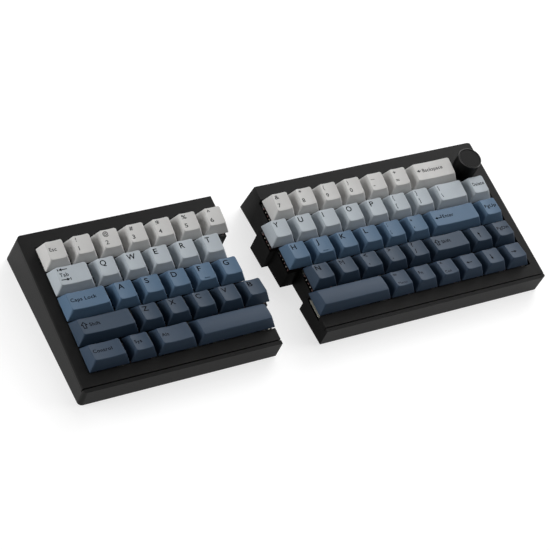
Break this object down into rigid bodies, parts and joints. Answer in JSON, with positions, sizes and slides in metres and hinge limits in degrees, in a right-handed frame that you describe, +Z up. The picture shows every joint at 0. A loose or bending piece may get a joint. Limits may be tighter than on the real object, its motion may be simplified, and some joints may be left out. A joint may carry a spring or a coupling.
{
  "type": "split keyboard",
  "caption": "Split keyboard: stepped left and right halves on sloped cases, sculpted keys that press on sprung stems, and a turning knob at the back right corner.",
  "frame": {"origin": "on the desk under the middle of the whole keyboard, halves apart as pictured", "axes": "+X to the typist's right along the key rows, +Y away from the typist, +Z up"},
  "size_m": [0.3544, 0.1256, 0.0429],
  "materials": {
    "case_shell": "fine matt black",
    "case_frame": "fine matt black",
    "plate": "smooth pale grey sheet",
    "board": "green solder mask",
    "switch_housing": "dark moulded nylon",
    "foot_rubber": "soft black",
    "screw_steel": "blackened steel",
    "knob_metal": "black anodised, turned",
    "keycap_row_1": "fine-grained light grey",
    "keycap_row_2": "fine-grained pale blue grey",
    "keycap_row_3": "fine-grained mid blue",
    "keycap_row_4": "fine-grained dark blue",
    "keycap_row_5": "fine-grained slate"
  },
  "bodies": {
    "left_half": {"left_bottom_case": "case_shell", "left_top_frame": "case_frame", "left_switch_plate": "plate", "left_circuit_board": "board", "left_switches": "switch_housing", "left_stabilizers": "switch_housing", "left_feet": "foot_rubber", "left_screws": "screw_steel"},
    "right_half": {"right_bottom_case": "case_shell", "right_top_frame": "case_frame", "right_switch_plate": "plate", "right_circuit_board": "board", "right_switches": "switch_housing", "right_stabilizers": "switch_housing", "right_feet": "foot_rubber", "right_screws": "screw_steel"},
    "left_number_keys": {"left_number_keys": "keycap_row_1"},
    "tab_key": {"tab_key": "keycap_row_2"},
    "q_key": {"q_key": "keycap_row_2"},
    "w_key": {"w_key": "keycap_row_2"},
    "e_key": {"e_key": "keycap_row_2"},
    "r_key": {"r_key": "keycap_row_2"},
    "t_key": {"t_key": "keycap_row_2"},
    "caps_lock_key": {"caps_lock_key": "keycap_row_3"},
    "a_key": {"a_key": "keycap_row_3"},
    "s_key": {"s_key": "keycap_row_3"},
    "d_key": {"d_key": "keycap_row_3"},
    "f_key": {"f_key": "keycap_row_3"},
    "g_key": {"g_key": "keycap_row_3"},
    "left_shift_key": {"left_shift_key": "keycap_row_4"},
    "z_key": {"z_key": "keycap_row_4"},
    "x_key": {"x_key": "keycap_row_4"},
    "c_key": {"c_key": "keycap_row_4"},
    "v_key": {"v_key": "keycap_row_4"},
    "b_key": {"b_key": "keycap_row_4"},
    "left_modifier_keys": {"left_modifier_keys": "keycap_row_5"},
    "system_key": {"system_key": "keycap_row_5"},
    "left_space_key": {"left_space_key": "keycap_row_5"},
    "right_number_keys": {"right_number_keys": "keycap_row_1"},
    "backspace_key": {"backspace_key": "keycap_row_1"},
    "y_key": {"y_key": "keycap_row_2"},
    "u_key": {"u_key": "keycap_row_2"},
    "i_key": {"i_key": "keycap_row_2"},
    "o_key": {"o_key": "keycap_row_2"},
    "p_key": {"p_key": "keycap_row_2"},
    "bracket_keys": {"bracket_keys": "keycap_row_2"},
    "backslash_key": {"backslash_key": "keycap_row_2"},
    "h_key": {"h_key": "keycap_row_3"},
    "j_key": {"j_key": "keycap_row_3"},
    "k_key": {"k_key": "keycap_row_3"},
    "l_key": {"l_key": "keycap_row_3"},
    "quote_keys": {"quote_keys": "keycap_row_3"},
    "enter_key": {"enter_key": "keycap_row_3"},
    "n_key": {"n_key": "keycap_row_4"},
    "m_key": {"m_key": "keycap_row_4"},
    "stop_keys": {"stop_keys": "keycap_row_4"},
    "right_shift_key": {"right_shift_key": "keycap_row_4"},
    "right_space_key": {"right_space_key": "keycap_row_5"},
    "arrow_row_keys": {"arrow_row_keys": "keycap_row_5"},
    "knob": {"knob": "knob_metal"}
  },
  "joints": [
    {"name": "right_half_slide", "type": "slide", "parent": "left_half", "child": "right_half", "axis": [1, 0, 0], "range_m": [-0.0327, 0.12]},
    {"name": "left_number_keys_press", "type": "slide", "parent": "left_half", "child": "left_number_keys", "axis": [0, 0.1097, -0.994], "range_m": [0, 0.004], "stiffness_N_per_m": 525, "springref_m": -0.004},
    {"name": "tab_key_press", "type": "slide", "parent": "left_half", "child": "tab_key", "axis": [0, 0.1097, -0.994], "range_m": [0, 0.004], "stiffness_N_per_m": 75, "springref_m": -0.004},
    {"name": "q_key_press", "type": "slide", "parent": "left_half", "child": "q_key", "axis": [0, 0.1097, -0.994], "range_m": [0, 0.004], "stiffness_N_per_m": 75, "springref_m": -0.004},
    {"name": "w_key_press", "type": "slide", "parent": "left_half", "child": "w_key", "axis": [0, 0.1097, -0.994], "range_m": [0, 0.004], "stiffness_N_per_m": 75, "springref_m": -0.004},
    {"name": "e_key_press", "type": "slide", "parent": "left_half", "child": "e_key", "axis": [0, 0.1097, -0.994], "range_m": [0, 0.004], "stiffness_N_per_m": 75, "springref_m": -0.004},
    {"name": "r_key_press", "type": "slide", "parent": "left_half", "child": "r_key", "axis": [0, 0.1097, -0.994], "range_m": [0, 0.004], "stiffness_N_per_m": 75, "springref_m": -0.004},
    {"name": "t_key_press", "type": "slide", "parent": "left_half", "child": "t_key", "axis": [0, 0.1097, -0.994], "range_m": [0, 0.004], "stiffness_N_per_m": 75, "springref_m": -0.004},
    {"name": "caps_lock_key_press", "type": "slide", "parent": "left_half", "child": "caps_lock_key", "axis": [0, 0.1097, -0.994], "range_m": [0, 0.004], "stiffness_N_per_m": 75, "springref_m": -0.004},
    {"name": "a_key_press", "type": "slide", "parent": "left_half", "child": "a_key", "axis": [0, 0.1097, -0.994], "range_m": [0, 0.004], "stiffness_N_per_m": 75, "springref_m": -0.004},
    {"name": "s_key_press", "type": "slide", "parent": "left_half", "child": "s_key", "axis": [0, 0.1097, -0.994], "range_m": [0, 0.004], "stiffness_N_per_m": 75, "springref_m": -0.004},
    {"name": "d_key_press", "type": "slide", "parent": "left_half", "child": "d_key", "axis": [0, 0.1097, -0.994], "range_m": [0, 0.004], "stiffness_N_per_m": 75, "springref_m": -0.004},
    {"name": "f_key_press", "type": "slide", "parent": "left_half", "child": "f_key", "axis": [0, 0.1097, -0.994], "range_m": [0, 0.004], "stiffness_N_per_m": 75, "springref_m": -0.004},
    {"name": "g_key_press", "type": "slide", "parent": "left_half", "child": "g_key", "axis": [0, 0.1097, -0.994], "range_m": [0, 0.004], "stiffness_N_per_m": 75, "springref_m": -0.004},
    {"name": "left_shift_key_press", "type": "slide", "parent": "left_half", "child": "left_shift_key", "axis": [0, 0.1097, -0.994], "range_m": [0, 0.004], "stiffness_N_per_m": 75, "springref_m": -0.004},
    {"name": "z_key_press", "type": "slide", "parent": "left_half", "child": "z_key", "axis": [0, 0.1097, -0.994], "range_m": [0, 0.004], "stiffness_N_per_m": 75, "springref_m": -0.004},
    {"name": "x_key_press", "type": "slide", "parent": "left_half", "child": "x_key", "axis": [0, 0.1097, -0.994], "range_m": [0, 0.004], "stiffness_N_per_m": 75, "springref_m": -0.004},
    {"name": "c_key_press", "type": "slide", "parent": "left_half", "child": "c_key", "axis": [0, 0.1097, -0.994], "range_m": [0, 0.004], "stiffness_N_per_m": 75, "springref_m": -0.004},
    {"name": "v_key_press", "type": "slide", "parent": "left_half", "child": "v_key", "axis": [0, 0.1097, -0.994], "range_m": [0, 0.004], "stiffness_N_per_m": 75, "springref_m": -0.004},
    {"name": "b_key_press", "type": "slide", "parent": "left_half", "child": "b_key", "axis": [0, 0.1097, -0.994], "range_m": [0, 0.004], "stiffness_N_per_m": 75, "springref_m": -0.004},
    {"name": "left_modifier_keys_press", "type": "slide", "parent": "left_half", "child": "left_modifier_keys", "axis": [0, 0.1097, -0.994], "range_m": [0, 0.004], "stiffness_N_per_m": 150, "springref_m": -0.004},
    {"name": "system_key_press", "type": "slide", "parent": "left_half", "child": "system_key", "axis": [0, 0.1097, -0.994], "range_m": [0, 0.004], "stiffness_N_per_m": 75, "springref_m": -0.004},
    {"name": "left_space_key_press", "type": "slide", "parent": "left_half", "child": "left_space_key", "axis": [0, 0.1097, -0.994], "range_m": [0, 0.004], "stiffness_N_per_m": 75, "springref_m": -0.004},
    {"name": "right_number_keys_press", "type": "slide", "parent": "right_half", "child": "right_number_keys", "axis": [0, 0.1097, -0.994], "range_m": [0, 0.004], "stiffness_N_per_m": 450, "springref_m": -0.004},
    {"name": "backspace_key_press", "type": "slide", "parent": "right_half", "child": "backspace_key", "axis": [0, 0.1097, -0.994], "range_m": [0, 0.004], "stiffness_N_per_m": 75, "springref_m": -0.004},
    {"name": "y_key_press", "type": "slide", "parent": "right_half", "child": "y_key", "axis": [0, 0.1097, -0.994], "range_m": [0, 0.004], "stiffness_N_per_m": 75, "springref_m": -0.004},
    {"name": "u_key_press", "type": "slide", "parent": "right_half", "child": "u_key", "axis": [0, 0.1097, -0.994], "range_m": [0, 0.004], "stiffness_N_per_m": 75, "springref_m": -0.004},
    {"name": "i_key_press", "type": "slide", "parent": "right_half", "child": "i_key", "axis": [0, 0.1097, -0.994], "range_m": [0, 0.004], "stiffness_N_per_m": 75, "springref_m": -0.004},
    {"name": "o_key_press", "type": "slide", "parent": "right_half", "child": "o_key", "axis": [0, 0.1097, -0.994], "range_m": [0, 0.004], "stiffness_N_per_m": 75, "springref_m": -0.004},
    {"name": "p_key_press", "type": "slide", "parent": "right_half", "child": "p_key", "axis": [0, 0.1097, -0.994], "range_m": [0, 0.004], "stiffness_N_per_m": 75, "springref_m": -0.004},
    {"name": "bracket_keys_press", "type": "slide", "parent": "right_half", "child": "bracket_keys", "axis": [0, 0.1097, -0.994], "range_m": [0, 0.004], "stiffness_N_per_m": 225, "springref_m": -0.004},
    {"name": "backslash_key_press", "type": "slide", "parent": "right_half", "child": "backslash_key", "axis": [0, 0.1097, -0.994], "range_m": [0, 0.004], "stiffness_N_per_m": 75, "springref_m": -0.004},
    {"name": "h_key_press", "type": "slide", "parent": "right_half", "child": "h_key", "axis": [0, 0.1097, -0.994], "range_m": [0, 0.004], "stiffness_N_per_m": 75, "springref_m": -0.004},
    {"name": "j_key_press", "type": "slide", "parent": "right_half", "child": "j_key", "axis": [0, 0.1097, -0.994], "range_m": [0, 0.004], "stiffness_N_per_m": 75, "springref_m": -0.004},
    {"name": "k_key_press", "type": "slide", "parent": "right_half", "child": "k_key", "axis": [0, 0.1097, -0.994], "range_m": [0, 0.004], "stiffness_N_per_m": 75, "springref_m": -0.004},
    {"name": "l_key_press", "type": "slide", "parent": "right_half", "child": "l_key", "axis": [0, 0.1097, -0.994], "range_m": [0, 0.004], "stiffness_N_per_m": 75, "springref_m": -0.004},
    {"name": "quote_keys_press", "type": "slide", "parent": "right_half", "child": "quote_keys", "axis": [0, 0.1097, -0.994], "range_m": [0, 0.004], "stiffness_N_per_m": 225, "springref_m": -0.004},
    {"name": "enter_key_press", "type": "slide", "parent": "right_half", "child": "enter_key", "axis": [0, 0.1097, -0.994], "range_m": [0, 0.004], "stiffness_N_per_m": 75, "springref_m": -0.004},
    {"name": "n_key_press", "type": "slide", "parent": "right_half", "child": "n_key", "axis": [0, 0.1097, -0.994], "range_m": [0, 0.004], "stiffness_N_per_m": 75, "springref_m": -0.004},
    {"name": "m_key_press", "type": "slide", "parent": "right_half", "child": "m_key", "axis": [0, 0.1097, -0.994], "range_m": [0, 0.004], "stiffness_N_per_m": 75, "springref_m": -0.004},
    {"name": "stop_keys_press", "type": "slide", "parent": "right_half", "child": "stop_keys", "axis": [0, 0.1097, -0.994], "range_m": [0, 0.004], "stiffness_N_per_m": 375, "springref_m": -0.004},
    {"name": "right_shift_key_press", "type": "slide", "parent": "right_half", "child": "right_shift_key", "axis": [0, 0.1097, -0.994], "range_m": [0, 0.004], "stiffness_N_per_m": 75, "springref_m": -0.004},
    {"name": "right_space_key_press", "type": "slide", "parent": "right_half", "child": "right_space_key", "axis": [0, 0.1097, -0.994], "range_m": [0, 0.004], "stiffness_N_per_m": 75, "springref_m": -0.004},
    {"name": "arrow_row_keys_press", "type": "slide", "parent": "right_half", "child": "arrow_row_keys", "axis": [0, 0.1097, -0.994], "range_m": [0, 0.004], "stiffness_N_per_m": 450, "springref_m": -0.004},
    {"name": "knob_turn", "type": "hinge", "parent": "right_half", "child": "knob", "pos_m": [0.15907, 0.03442, 0.02784], "axis": [0, -0.1097, 0.994], "continuous": true}
  ]
}
